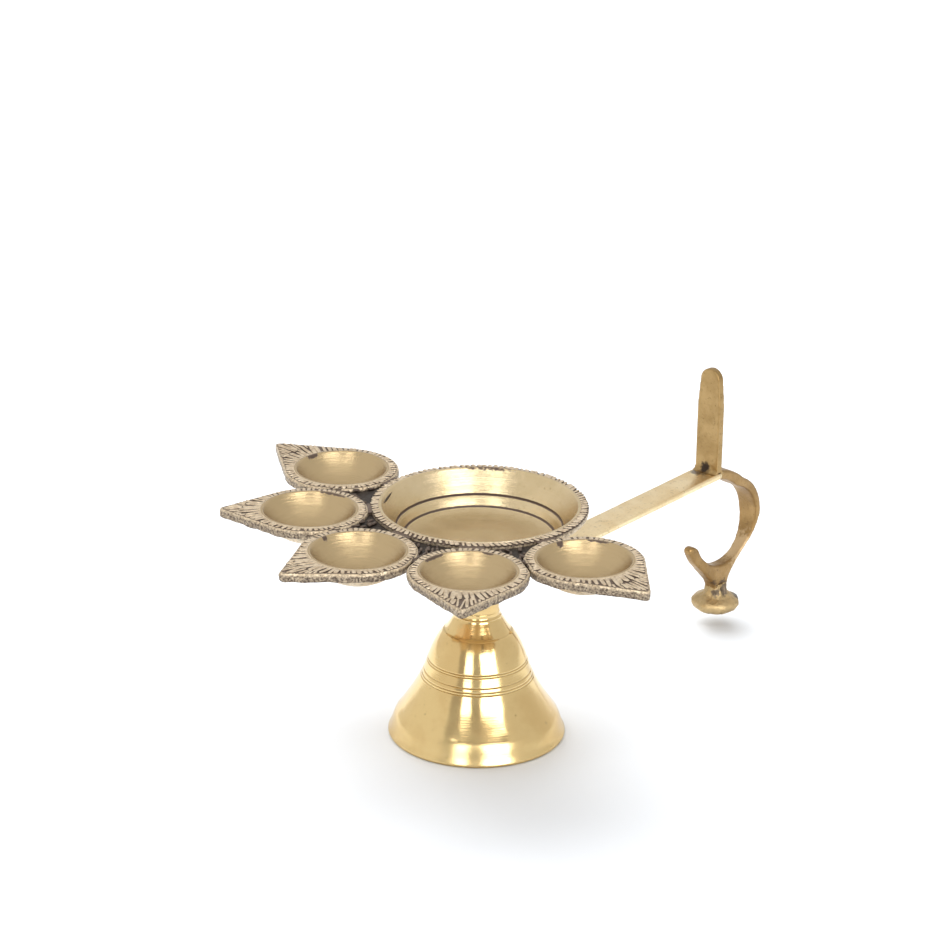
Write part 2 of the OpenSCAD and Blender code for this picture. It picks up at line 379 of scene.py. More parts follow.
# Packing washer: a stamped brass ring between the neck and the handle's eye. It keeps the
# screwed joint from working loose, and its corners are rounded by use.
washer_brass, tree, shader, place = finish("washer_brass")
dull = patchy(tree, place, 350.0, 0.4, 0.65, 5.0)
colour = blend(tree, dull, (0.52, 0.39, 0.20), (0.20, 0.14, 0.08))
metal(tree, shader, colour, ramp(tree, dull, 0.0, 1.0, 0.34, 0.6))
bumped(tree, shader, (cloudy(tree, place, 1500.0, 4.0), 0.5, 0.0001))
points, faces = turned(
    [
        (4.5, 57), (4.3, 57.2), (4.3, 57.8), (4.5, 58), (8.2, 58), (8.45, 57.85), (8.5, 57.6),
        (8.5, 57.4), (8.45, 57.15), (8.2, 57),
    ],
    around=96,
)
washer = closed_mesh("packing_washer_stamped", points, faces, [washer_brass])
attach(washer, "washer")
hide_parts("packing_washer")


# Threaded stud: a length of brass rod, cut with a coarse thread where it enters the neck and
# left plain where it is fixed in the boss under the bowl.
stud_brass, tree, shader, place = finish("stud_brass")
oily = patchy(tree, place, 260.0, 0.4, 0.62, 4.0)
colour = blend(tree, oily, (0.72, 0.54, 0.27), (0.55, 0.39, 0.18))
colour = blend(tree, marked(tree, "root"), colour, (0.10, 0.07, 0.04))
metal(tree, shader, colour, ramp(tree, oily, 0.0, 1.0, 0.2, 0.38))
bumped(tree, shader, (cloudy(tree, place, 2500.0, 3.0), 0.3, 0.00005))
THREAD_PITCH, THREAD_DEPTH, THREAD_TOP, THREAD_FOOT, RUN_OUT = 1.25, 0.55, 57.9, 48.6, 0.6
STUD_RADIUS = 4.0


def thread_cut(r, z, turn):
    """The stud's radius with a helical V cut into it below the handle's eye."""
    if r < 3.9:
        return r
    share = (z / THREAD_PITCH - turn / (2 * math.pi)) % 1.0
    fade = min(1.0, max(0.0, (THREAD_TOP - z) / RUN_OUT))
    fade *= min(1.0, max(0.0, (z - THREAD_FOOT) / RUN_OUT))
    return r - THREAD_DEPTH * fade * min(1.0, max(0.0, 1.25 * abs(2 * share - 1)))


stud_levels = [49.05 + 0.125 * i for i in range(72)]
stud_side = [(STUD_RADIUS, z) for z in stud_levels + [58.2, 64, 70.1]]
stud_outline = [(0, 48.25), (3.2, 48.25), (3.6, 48.7)] + stud_side + [(3.7, 70.4), (0, 70.4)]
points, faces = turned(stud_outline, around=64, radius=thread_cut)
depths = [
    min(1.0, max(0.0, (3.75 - math.hypot(x, y)) / 0.3)) if 48.9 < z < 58 else 0.0
    for x, y, z in points
]
stud = closed_mesh(
    "threaded_stud_cut", points, faces, [stud_brass], sharp=60, marks={"root": depths},
)
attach(stud, "head")
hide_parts("threaded_stud")


# Tray: one sand casting in brass, a deep centre bowl with five petals round it. The bowl and the
# cups are turned bright, and the rims between are left as cast, dark with dirt in their hollows.
turned_brass, tree, shader, place = finish("turned_brass")
colour = blend(
    tree, patchy(tree, place, 60.0, 0.38, 0.66, 4.0), (0.70, 0.56, 0.345), (0.635, 0.50, 0.29),
)
flat = wired(
    tree, "ShaderNodeVectorMath", {0: place, 1: (1.0, 1.0, 0.0)}, operation="MULTIPLY",
).outputs[0]
distance = wired(tree, "ShaderNodeVectorMath", {0: flat}, operation="LENGTH").outputs["Value"]
sooted = ramp(tree, distance, 0.039, 0.043)  # the cups are sootier than the bowl
colour = blend(tree, sooted, colour, (0.525, 0.395, 0.22))
colour = blend(tree, patchy(tree, place, 650.0, 0.63, 0.72, 4.0), colour, (0.50, 0.36, 0.18))
lathe = use(tree, rings, Distance=marked(tree, "turning"), Lines_per_metre=8000.0)["Height"]
dirt = maths(tree, "MULTIPLY_ADD", cloudy(tree, place, 900.0, 5.0), 0.9, marked(tree, "grime"))
dirt = ramp(tree, dirt, 0.85, 1.0)
colour = blend(tree, dirt, colour, (0.10, 0.065, 0.045))
matt = maths(tree, "MULTIPLY_ADD", dirt, 0.35, ramp(tree, lathe, 0.0, 1.0, 0.19, 0.26))
metal(tree, shader, colour, matt, ramp(tree, dirt, 0.0, 1.0, 1.0, 0.25))
bumped(tree, shader, (cloudy(tree, place, 160.0, 2.0), 0.5, 0.00012), (lathe, 1.0, 0.00006))

# cast skin: the sandy lumps and pinholes of a rough casting
skin, given, put = effect(
    "cast_skin",
    [("Place", VECTOR, None), ("Grain", NUMBER, 900.0)],
    [("Height", NUMBER), ("Pinholes", NUMBER)],
)
lumps = wired(
    skin, "ShaderNodeTexNoise",
    {"Vector": given["Place"], "Scale": given["Grain"], "Detail": 5.0, "Roughness": 0.65},
).outputs["Fac"]
holes = wired(
    skin, "ShaderNodeTexVoronoi",
    {"Vector": given["Place"], "Scale": given["Grain"], "Randomness": 1.0}, feature="F1",
).outputs["Distance"]
hole = maths(skin, "MULTIPLY", ramp(skin, holes, 0.3, 0.12), ramp(skin, lumps, 0.5, 0.44))
skin.links.new(maths(skin, "MULTIPLY_ADD", hole, -0.6, lumps), put["Height"])
skin.links.new(hole, put["Pinholes"])


def cast_finish(name, bright, dull, dirt_colour, dirt_low, dirt_high):
    """Rough cast brass: worn bright on top, dirty in its hollows and pinholes."""
    made, tree, shader, place = finish(name)
    grime = marked(tree, "grime")
    surface = use(tree, skin, Place=place, Grain=1100.0)
    dull_mask = patchy(tree, place, 420.0, 0.42, 0.6, 5.0)
    colour = blend(tree, dull_mask, bright, dull)
    dirt = maths(tree, "MULTIPLY_ADD", cloudy(tree, place, 1300.0, 4.0), 0.8, grime)
    dirt = maths(tree, "MULTIPLY_ADD", surface["Pinholes"], 0.4, dirt)
    dirt = ramp(tree, dirt, dirt_low, dirt_high)
    colour = blend(tree, dirt, colour, dirt_colour)
    deep = ramp(tree, grime, 0.88, 0.98)
    colour = blend(tree, deep, colour, tuple(0.2 * c for c in dirt_colour))
    metal(
        tree, shader, colour, ramp(tree, dull_mask, 0.0, 1.0, 0.36, 0.52),
        ramp(tree, dirt, 0.0, 1.0, 0.95, 0.2),
    )
    shader.inputs["Specular IOR Level"].default_value = 0.3
    bumped(tree, shader, (surface["Height"], 0.8, 0.0004))
    return made


cast_brass = cast_finish(
    "cast_brass", (0.79, 0.645, 0.45), (0.65, 0.52, 0.355), (0.10, 0.068, 0.048), dirt_low=0.66,
    dirt_high=1.02,
)

CUP_TURNS = [100, 140, 180, 220, 260]
REACHES = [36, 32.5, 33.5, 33.5, 35]
LEANS = [-11, -7, -8, 0, 1]
CUP_DISTANCE, PETAL_RING, TIP_ROUND = 61, 21.4, 1.5
GAP_TURNS = (120, 160, 200, 240)


def polar(r, turn):
    return r * math.cos(turn), r * math.sin(turn)


def swung(x, y, turn):
    """A point turned about the bowl's axis."""
    return x * math.cos(turn) - y * math.sin(turn), x * math.sin(turn) + y * math.cos(turn)


def apart(first, second):
    """The smaller angle between two directions."""
    return abs((first - second + math.pi) % (2 * math.pi) - math.pi)


cup_centres = [polar(CUP_DISTANCE, math.radians(a)) for a in CUP_TURNS]


def petal_edge(cup, turn):
    """Distance from a cup's centre to its petal's edge: a ring drawn out to a tip, cut off half
    way to the neighbouring cups."""
    tip = REACHES[cup] - TIP_ROUND
    off = apart(turn, math.radians(CUP_TURNS[cup] + LEANS[cup]))
    wrap = math.acos((PETAL_RING - TIP_ROUND) / tip)
    edge = PETAL_RING
    if off < wrap:
        edge = PETAL_RING / math.cos(off - wrap)
        touch = math.atan2(TIP_ROUND * math.sin(wrap), tip + TIP_ROUND * math.cos(wrap))
        if off < touch:
            inside_tip = max(0.0, TIP_ROUND**2 - (tip * math.sin(off)) ** 2)
            edge = tip * math.cos(off) + math.sqrt(inside_tip)
    for other in (cup - 1, cup + 1):
        if 0 <= other < len(CUP_TURNS):
            (x, y), (other_x, other_y) = cup_centres[cup], cup_centres[other]
            dx, dy = other_x - x, other_y - y
            swing = apart(turn, math.atan2(dy, dx))
            if swing < math.radians(75):
                edge = min(edge, math.hypot(dx, dy) / 2 / math.cos(swing))
    return edge


tray_points, tray_faces, tray_which, tray_grime, tray_turning = [], [], [], [], []


def add_rows(rows, kinds):
    """Joins rows of (points, grime, turning) into a shell, with a finish for each band
    between two rows. A row of one point is a pole."""
    starts = []
    for spots, dirt, spin in rows:
        starts.append((len(tray_points), len(spots)))
        tray_points.extend(spots)
        tray_grime.extend(dirt if isinstance(dirt, list) else [dirt] * len(spots))
        tray_turning.extend([spin] * len(spots))
    for kind, (low, count_low), (high, count_high) in zip(kinds, starts, starts[1:]):
        count = max(count_low, count_high)
        for i in range(count):
            j = (i + 1) % count
            if count_low == 1:
                tray_faces.append((low, high + i, high + j))
            elif count_high == 1:
                tray_faces.append((low + i, low + j, high))
            else:
                tray_faces.append((low + i, low + j, high + j, high + i))
            tray_which.append(kind)


# chips and soot at the cups' inner edges: cup, from and to in degrees round it, how far down
CHIPS = [
    (0, 76, 98, 2.2), (1, -8, 38, 0.9), (3, 70, 112, 1.5), (3, 8, 30, 0.8), (4, 6, 42, 0.9),
    (4, 68, 80, 2.8), (2, 86, 96, 2.6),
]


def chip_at(cup, turn, below):
    """How chipped and sooty a cup is at a turn round it and a depth below its edge."""
    worst = 0.0
    for chipped, start, end, depth in CHIPS:
        if chipped == cup:
            middle, half = math.radians((start + end) / 2), math.radians((end - start) / 2)
            off = apart(turn, middle) / half
            worst = max(worst, max(0.0, 1 - off**3) * max(0.0, 1 - below / depth))
    return worst


BRIGHT, CAST = 0, 1  # the tray's two finishes
AROUND = 180
# each cup is part of a ball, turned inside and cast outside
BALL_CENTRE, INNER_BALL, OUTER_BALL, RIM_TOP = 99.05, 19.152, 21.552, 89.5
for cup, (cx, cy) in enumerate(cup_centres):
    turns = [2 * math.pi * i / AROUND for i in range(AROUND)]
    edges = [petal_edge(cup, t) for t in turns]

    def ring(r, z):
        return [(cx + r * math.cos(t), cy + r * math.sin(t), z) for t in turns]

    def rim(inset, z, rough):
        """A row that follows the petal's edge, knocked about by hand finishing."""
        out = []
        for t, edge in zip(turns, edges):
            x, y = cx + edge * math.cos(t), cy + edge * math.sin(t)
            worn = rough * (0.5 + 0.5 * noise.noise(Vector((x * 0.35, y * 0.35, z * 0.8))))
            worn += rough * 0.6 * abs(noise.noise(Vector((x * 1.1, y * 1.1, z * 1.6))))
            r = edge - inset - worn
            sag = 0.35 * noise.noise(Vector((x * 0.22, y * 0.22, 4.0))) if z < 87.5 else 0.0
            out.append((cx + r * math.cos(t), cy + r * math.sin(t), z + sag))
        return out

    rows, kinds = [([(cx, cy, 79.9)], 0.0, 0.0)], []
    for r in (1, 2.5, 4.5, 6.5, 8.5, 10.5, 12.3, 13.8, 15, 15.9, 16.4):
        z = BALL_CENTRE - math.sqrt(INNER_BALL**2 - r * r)
        rows.append((ring(r, z), [chip_at(cup, t, RIM_TOP - z) for t in turns], r * mm))
    at_lip = [chip_at(cup, t, 0.1) for t in turns]
    rows.append((ring(16.62, 89.42), at_lip, 16.6 * mm))
    rows.append((ring(16.8, RIM_TOP), [0.8 * chip for chip in at_lip], 16.8 * mm))
    rows.append((ring(17.5, 89.48), 0.05, 17.5 * mm))
    kinds += [BRIGHT] * 14
    rows.append((ring(17.8, 89.25), 0.25, 0.0))
    for part in (0.3, 0.75):
        reaches = [17.8 + part * (edge - 1.1 - 17.8) for edge in edges]
        spots = [
            (cx + r * math.cos(t), cy + r * math.sin(t), 88.95)
            for r, t in zip(reaches, turns)
        ]
        rows.append((spots, 0.85, 0.0))
    # inset from the petal's edge, height, how knocked about, dirt
    for inset, z, rough, dirt in (
        (1.1, 89.1, 0.15, 0.5), (0.6, 89.0, 0.25, 0.3), (0.15, 88.5, 0.35, 0.42),
        (0.0, 87.9, 0.5, 0.52), (0.0, 87.2, 0.6, 0.5), (0.05, 86.5, 0.6, 0.52),
        (0.3, 86.0, 0.5, 0.55), (0.9, 85.75, 0.4, 0.5), (2.2, 86.0, 0.3, 0.35),
    ):
        rows.append((rim(inset, z, rough), dirt, 0.0))
    rows.append((ring(18.3, 86.45), 0.3, 0.0))
    for r in (17.3, 16.3, 15, 13, 11, 9, 7, 5, 3, 1.2):
        rows.append((ring(r, BALL_CENTRE - math.sqrt(OUTER_BALL**2 - r * r)), 0.28, 0.0))
    rows.append(([(cx, cy, 77.5)], 0.28, 0.0))
    kinds += [CAST] * 24
    add_rows(rows, kinds)

# the centre bowl with its two scribed lines, its rim, its outside, the boss and the spigot:
# radius, height, dirt and finish
bowl_parts = [
    (0, 74.9, 0, 0), (5, 74.92, 0, 0), (10, 75.0, 0, 0), (15, 75.1, 0, 0), (19.4, 75.22, 0, 0),
    (21.6, 75.45, 0, 0), (23.4, 75.8, 0, 0), (24.7, 76.15, 0, 0), (25.8, 76.55, 0, 0),
    (26.8, 77.0, 0.1, 0), (27.1, 77.2, 1.0, 0), (27.3, 77.05, 1.0, 0), (27.55, 77.5, 1.0, 0),
    (27.75, 77.8, 0.1, 0), (28.6, 79.15, 0, 0), (29.55, 80.6, 0.1, 0), (29.85, 80.8, 1.0, 0),
    (30.1, 80.85, 1.0, 0), (30.1, 81.3, 1.0, 0), (30.3, 81.65, 0.1, 0), (31.5, 83.5, 0, 0),
    (33, 85.8, 0, 0), (34.2, 87.6, 0, 0), (35.1, 89.0, 0, 0), (35.35, 89.38, 0, 0),
    (35.6, 89.5, 0, 0), (36.3, 89.48, 0.1, 0), (36.5, 89.0, 0.8, 1), (37.6, 88.95, 0.85, 1),
    (38.6, 88.9, 0.8, 1), (39.1, 88.6, 0.5, 1), (39.2, 87.8, 0.35, 1), (39.1, 87.0, 0.35, 1),
    (38.7, 86.52, 0.3, 1), (36.6, 86.5, 0.3, 1), (35.4, 85.1, 0.15, 1), (33, 81.6, 0.12, 1),
    (30.5, 78, 0.12, 1), (28.6, 75.2, 0.12, 1), (27.6, 74.1, 0.12, 1), (26.2, 73.1, 0.12, 1),
    (24.2, 72.35, 0.12, 1), (21.4, 71.95, 0.12, 1), (15, 71.9, 0.12, 1), (9.9, 71.9, 0.3, 1),
    (9.2, 71.6, 0.3, 1), (9, 70.8, 0.2, 1), (9, 66, 0.1, 1), (9, 61.2, 0.1, 1), (8.7, 60.6, 0.2, 1),
    (8.3, 60.5, 0.4, 1), (6.6, 60.5, 0.5, 1), (6.5, 60.3, 0.3, 1), (6.5, 58.3, 0.2, 1),
    (6.2, 58, 0.2, 1), (4.2, 58, 0.3, 1), (4.02, 58.2, 0.4, 1), (4.02, 70.9, 0.4, 1),
    (0, 70.9, 0.4, 1),
]
BOWL_AROUND = 220
turns = [2 * math.pi * i / BOWL_AROUND for i in range(BOWL_AROUND)]
bowl_rows = []
for r, z, dirt, kind in bowl_parts:
    if r == 0:
        bowl_rows.append(([(0, 0, z)], dirt, 0.0))
        continue
    spots = []
    for t in turns:
        x, y = polar(r, t)
        rough = 0.35 if kind == CAST and r > 36.7 else 0.0
        worn = rough * abs(noise.noise(Vector((x * 0.6, y * 0.6, z))))
        spots.append((*polar(r - worn, t), z))
    if 34.5 < r < 36.4 and kind == BRIGHT:  # soot along the far side of the rim
        dirt = [max(dirt, 0.55 * max(0.0, 1 - ((math.degrees(t) - 38) / 26) ** 2)) for t in turns]
    bowl_rows.append((spots, dirt, r * mm))
add_rows(bowl_rows, [part[3] for part in bowl_parts[1:]])


def add_plate(outline, middle_x, turn, levels):
    """A flat plate of the casting. Its levels are (height, dirt) at the middle and the edge of
    the top, then at the edge and the middle of the underside."""
    spots = [swung(x, y, turn) for x, y in outline]
    middle = polar(middle_x, turn)
    (top, top_dirt), (edge, edge_dirt), (low, low_dirt), (base, base_dirt) = levels
    rows = [
        ([(*middle, top)], top_dirt, 0.0), ([(*spot, edge) for spot in spots], edge_dirt, 0.0),
        ([(*spot, low) for spot in spots], low_dirt, 0.0), ([(*middle, base)], base_dirt, 0.0),
    ]
    add_rows(rows, [CAST] * 3)


# the sunk webs that fill the gaps between the rims
web = [
    (34, -15), (42, -12.5), (50, -6.5), (59.2, -2.8), (59.2, 2.8), (50, 6.5), (42, 12.5), (34, 15),
]
for gap_turn in GAP_TURNS:
    add_plate(
        web, 46, math.radians(gap_turn), ((87.75, 1.0), (88.1, 1.0), (86.6, 0.4), (86.6, 0.3)),
    )
# short lands that join the bowl's rim to each petal's ring
land = [(38.5, -4), (40.4, -4.4), (40.4, 4.4), (38.5, 4)]
for cup_turn in CUP_TURNS:
    add_plate(
        land, 39.4, math.radians(cup_turn), ((89.05, 0.7), (89.0, 0.8), (86.55, 0.4), (86.55, 0.3)),
    )
tray = closed_mesh(
    "tray_cast", tray_points, tray_faces, [turned_brass, cast_brass], tray_which, sharp=38,
    marks={"grime": tray_grime, "turning": tray_turning},
)
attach(tray, "head")
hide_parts("tray_casting")


# Rim ridges: the raised strokes left between the chiselled slits on every rim of the casting.
# They fan out from each cup and from the bowl, and lie long and close at the petals' tips.
ridge_brass, tree, shader, place = finish("ridge_brass")
height = wired(tree, "ShaderNodeSeparateXYZ", {0: place}).outputs["Z"]
surface = use(tree, skin, Place=place, Grain=1300.0)
dull_mask = patchy(tree, place, 500.0, 0.40, 0.62, 5.0)
colour = blend(tree, dull_mask, (0.80, 0.66, 0.48), (0.60, 0.475, 0.33))
low = ramp(tree, height, 0.08932, 0.08908)
dirt = maths(tree, "MULTIPLY_ADD", cloudy(tree, place, 1500.0, 4.0), 0.9, low)
dirt = ramp(tree, dirt, 0.62, 1.05)
colour = blend(tree, dirt, colour, (0.085, 0.057, 0.04))
metal(
    tree, shader, colour, ramp(tree, dull_mask, 0.0, 1.0, 0.34, 0.5),
    ramp(tree, dirt, 0.0, 1.0, 0.95, 0.35),
)
bumped(tree, shader, (surface["Height"], 0.7, 0.00025))

# each stroke is a point; the group puts a rounded bar on it, turned and sized a little by chance
ridge_tree = bpy.data.node_groups.new("rim_ridges", "GeometryNodeTree")
sockets = {}
for label, kind in (
    ("Strokes", "NodeSocketGeometry"), ("Ridge Height", NUMBER), ("Turn Jitter", NUMBER),
    ("Size Jitter", NUMBER), ("Roughness", NUMBER), ("Seed", "NodeSocketInt"),
    ("Finish", "NodeSocketMaterial"),
):
    sockets[label] = ridge_tree.interface.new_socket(label, in_out="INPUT", socket_type=kind)
ridge_tree.interface.new_socket("Ridges", in_out="OUTPUT", socket_type="NodeSocketGeometry")
given = ridge_tree.nodes.new("NodeGroupInput").outputs
stroke = {
    label: wired(
        ridge_tree, "GeometryNodeInputNamedAttribute", {"Name": label}, data_type="FLOAT",
    ).outputs["Attribute"]
    for label in ("turn", "reach", "breadth")
}
block = wired(
    ridge_tree, "GeometryNodeMeshCube",
    {"Size": (1, 1, 1), "Vertices X": 4, "Vertices Y": 2, "Vertices Z": 2},
)
lump = wired(
    ridge_tree, "GeometryNodeSubdivisionSurface", {"Mesh": block.outputs["Mesh"], "Level": 1},
)
smooth = wired(ridge_tree, "GeometryNodeSetShadeSmooth", {0: lump.outputs[0]})


def jitter(amount, seed_step):
    """A random number between minus and plus the amount."""
    least = maths(ridge_tree, "MULTIPLY", amount, -1.0)
    seed = maths(ridge_tree, "ADD", given["Seed"], float(seed_step))
    return wired(
        ridge_tree, "FunctionNodeRandomValue", {2: least, 3: amount, "Seed": seed},
        data_type="FLOAT",
    ).outputs[1]


swing = maths(ridge_tree, "ADD", stroke["turn"], jitter(given["Turn Jitter"], 1))
angles = wired(
    ridge_tree, "ShaderNodeCombineXYZ", {"X": jitter(given["Turn Jitter"], 5), "Z": swing},
)
chance = maths(ridge_tree, "ADD", jitter(given["Size Jitter"], 2), 1.0)
breadth = maths(ridge_tree, "MULTIPLY", stroke["breadth"], chance)
sizes = wired(
    ridge_tree, "ShaderNodeCombineXYZ",
    {"X": stroke["reach"], "Y": breadth, "Z": given["Ridge Height"]},
)
placed = wired(
    ridge_tree, "GeometryNodeInstanceOnPoints",
    {
        "Points": given["Strokes"], "Instance": smooth.outputs[0], "Rotation": angles.outputs[0],
        "Scale": sizes.outputs[0],
    },
)
real = wired(ridge_tree, "GeometryNodeRealizeInstances", {0: placed.outputs[0]})
where = wired(ridge_tree, "GeometryNodeInputPosition")
worn = wired(
    ridge_tree, "ShaderNodeTexNoise", {"Vector": where.outputs[0], "Scale": 520.0, "Detail": 2.0},
)
centred = wired(
    ridge_tree, "ShaderNodeVectorMath", {0: worn.outputs["Color"], 1: (0.5, 0.5, 0.55)},
    operation="SUBTRACT",
)
moved = wired(
    ridge_tree, "ShaderNodeVectorMath", {0: centred.outputs[0], "Scale": given["Roughness"]},
    operation="SCALE",
)
settled = wired(
    ridge_tree, "GeometryNodeSetPosition",
    {"Geometry": real.outputs[0], "Offset": moved.outputs[0]},
)
coated = wired(
    ridge_tree, "GeometryNodeSetMaterial",
    {"Geometry": settled.outputs[0], "Material": given["Finish"]},
)
ridge_tree.links.new(coated.outputs[0], ridge_tree.nodes.new("NodeGroupOutput").inputs[0])

random.seed(7)
strokes = []  # x, y, z, turn, reach, breadth
CUP_STROKES, BOWL_STROKES, WEB_STROKES = 62, 116, 34
for cup, (cx, cy) in enumerate(cup_centres):
    step = 2 * math.pi / CUP_STROKES

    def add_stroke(inner, outer, z, t, slant, packing):
        """A stroke that runs out from the cup, as broad as its share of the way round."""
        middle = (inner + outer) / 2
        x, y = polar(middle, t)
        strokes.append((cx + x, cy + y, z, t + slant, outer - inner, middle * packing))

    for k in range(CUP_STROKES):
        t = step * (k + 0.3 * random.random())
        edge = petal_edge(cup, t) - 0.75 - 0.5 * random.random()
        far = min(edge, 23.6 + 2.2 * random.random())
        start = 16.85 + 0.4 * random.random()
        add_stroke(start, far, 89.03, t, 0.20 * math.sin(3 * t + cup), 0.93 * step)
        if edge > 24.6:  # two more strokes side by side where the petal runs out to its tip
            for side in (-0.25, 0.25):
                tt = t + step * side
                outer = petal_edge(cup, tt) - 0.7 - 0.8 * random.random()
                inner = 22.6 + 2.0 * random.random()
                if outer - inner > 1.2:
                    add_stroke(inner, outer, 88.98, tt, 0.0, 0.475 * step)
bowl_breadth = 2 * math.pi * 37.7 / BOWL_STROKES * 0.86
for k in range(BOWL_STROKES):
    t = 2 * math.pi * (k + 0.3 * random.random()) / BOWL_STROKES
    strokes.append((*polar(37.5, t), 89.0, t + 0.45, 3.3 + 0.5 * random.random(), bowl_breadth))
for gap_turn in GAP_TURNS:
    a = math.radians(gap_turn)
    for k in range(WEB_STROKES):
        x = 40.5 + 17.5 * (k + random.random()) / WEB_STROKES
        y = (2 * random.random() - 1) * (2.0 + 9.0 * max(0.0, (52 - x) / 12))
        z = 88.35 + 0.4 * random.random()
        turn = a + 0.9 * random.random() - 0.2
        reach, breadth = 1.8 + 1.2 * random.random(), 0.9 + 0.4 * random.random()
        strokes.append((*swung(x, y, a), z, turn, reach, breadth))
stroke_mesh = bpy.data.meshes.new("rim_ridges")
stroke_mesh.from_pydata([(x * mm, y * mm, z * mm) for x, y, z, *_ in strokes], [], [])
for label, column, unit in (("turn", 3, 1.0), ("reach", 4, mm), ("breadth", 5, mm)):
    stroke_mesh.attributes.new(label, "FLOAT", "POINT").data.foreach_set(
        "value", [s[column] * unit for s in strokes],
    )
ridges = bpy.data.objects.new("rim_ridges", stroke_mesh)
scene.collection.objects.link(ridges)
maker = ridges.modifiers.new("rim_ridges", "NODES")
maker.node_group = ridge_tree
for label, value in (
    ("Ridge Height", 1.05 * mm), ("Turn Jitter", 0.17), ("Size Jitter", 0.30),
    ("Roughness", 0.45 * mm), ("Seed", 3), ("Finish", ridge_brass),
):
    maker[sockets[label].identifier] = value


def made_plain(piece):
    """Replaces a piece's mesh with what its modifiers make of it, and removes them."""
    bpy.context.view_layer.update()
    depsgraph = bpy.context.evaluated_depsgraph_get()
    plain = bpy.data.meshes.new_from_object(piece.evaluated_get(depsgraph))
    plain.name = piece.name
    piece.modifiers.clear()
    piece.data = plain


made_plain(ridges)
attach(ridges, "head")


# Handle arm: a flat strip cut from brass plate, with an eye at one end that is driven on to the
# spigot under the bowl. It is filed by hand and left matt.
def handle_finish(name, bright, dull, rough_low, rough_high, stains, dark, coarse=1.0, worn=None):
    """Filed and handled brass: mottled tan, with dark stains and one pale patch of painted
    highlight at chosen places, each given as its centre, its radius and its raggedness or colour."""
    made, tree, shader, place = finish(name)
    surface = use(tree, skin, Place=place, Grain=950.0)
    broad = patchy(tree, place, 110.0, 0.36, 0.66, 6.0)
    colour = blend(tree, broad, bright, dull)
    fine = patchy(tree, place, 800.0, 0.55, 0.75, 4.0)
    colour = blend(tree, fine, colour, tuple(0.72 * c for c in dull))
    few_holes = maths(tree, "MULTIPLY", surface["Pinholes"], 0.2)
    colour = blend(tree, few_holes, colour, tuple(0.3 * c for c in dull))
    if worn:
        centre, radius, pale = worn
        # the worn patch is a painted highlight: a pale patch that lightens a part lying in shade
        painted_highlight = stained(tree, place, centre, radius, 1.3)
        colour = blend(tree, maths(tree, "MULTIPLY", painted_highlight, 0.8), colour, pale)
    for centre, radius, ragged in stains:
        colour = blend(tree, stained(tree, place, centre, radius, ragged), colour, dark)
    metal(tree, shader, colour, ramp(tree, broad, 0.0, 1.0, rough_low, rough_high))
    hand = cloudy(tree, place, 130.0, 2.0)
    bumped(tree, shader, (hand, 0.7, 0.0006 * coarse), (surface["Height"], 0.5, 0.00022 * coarse))
    return made


handle_brass = handle_finish(
    "handle_brass", (0.93, 0.755, 0.47), (0.84, 0.66, 0.385), 0.28, 0.42,
    stains=[((0.1250, 0.0022, 0.0670), 0.0042, 1.3)], dark=(0.28, 0.23, 0.18),
)
arm_points, arm_faces = turned(
    [
        (6.54, 58.2), (6.7, 58), (8.7, 58), (8.95, 58.2), (9, 58.5), (9, 60), (8.95, 60.3),
        (8.7, 60.5), (6.7, 60.5), (6.54, 60.3),
    ],
    around=72,
)
ARM_WIDE, ARM_THICK, ARM_END = 12.0, 2.5, 130
EYE_TOP, BEND_TOP, BEND_START, BEND_END = 60.5, 60.65, 22, 26  # the strip lifts just past its eye
corner = [(0.0, 0.9), (0.12, 0.45), (0.45, 0.12), (0.9, 0.0)]


def strip_section(x, wide, thick):
    """One rounded section of the strip, knocked slightly out of true."""
    if x <= BEND_START:
        top = EYE_TOP
    elif x <= BEND_END:
        top = EYE_TOP + 0.0375 * (x - BEND_START)
    else:
        top = BEND_TOP + 6.45 * (x - BEND_END) / (ARM_END - BEND_END)
    wide += 0.10 * noise.noise(Vector((x * 0.09, 0.0, 1.0)))
    top += 0.05 * noise.noise(Vector((x * 0.12, 3.0, 1.0)))
    inset, outline = min(1.0, thick), []
    for side_y, side_z in ((1, 1), (-1, 1), (-1, -1), (1, -1)):
        for a, b in corner if side_y * side_z > 0 else corner[::-1]:
            outline.append((side_y * (wide / 2 - a * inset), side_z * (thick / 2 - b * inset)))
    return [(x, y, top - ARM_THICK / 2 + z) for y, z in outline]


def loft(points, faces, sections):
    """Adds a bar made of closed sections in order, capped at both ends."""
    first, count = len(points), len(sections[0])
    points += [spot for section in sections for spot in section]
    for step in range(len(sections) - 1):
        for i in range(count):
            a, b = first + step * count + i, first + step * count + (i + 1) % count
            faces.append((a, b, b + count, a + count))
    faces += [tuple(range(first, first + count)), tuple(range(len(points) - count, len(points)))]


stations = [(6.9, 11.2, 2.2), (7.2, ARM_WIDE, ARM_THICK)]
stations += [(10 + 4 * i, ARM_WIDE, ARM_THICK) for i in range(30)]
stations += [(129.6, 11.9, 2.45), (ARM_END, 11.3, 1.9)]
loft(arm_points, arm_faces, [strip_section(*station) for station in stations])
arm = closed_mesh("handle_arm_filed", arm_points, arm_faces, [handle_brass], sharp=50)
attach(arm, "head")
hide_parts("handle_arm")


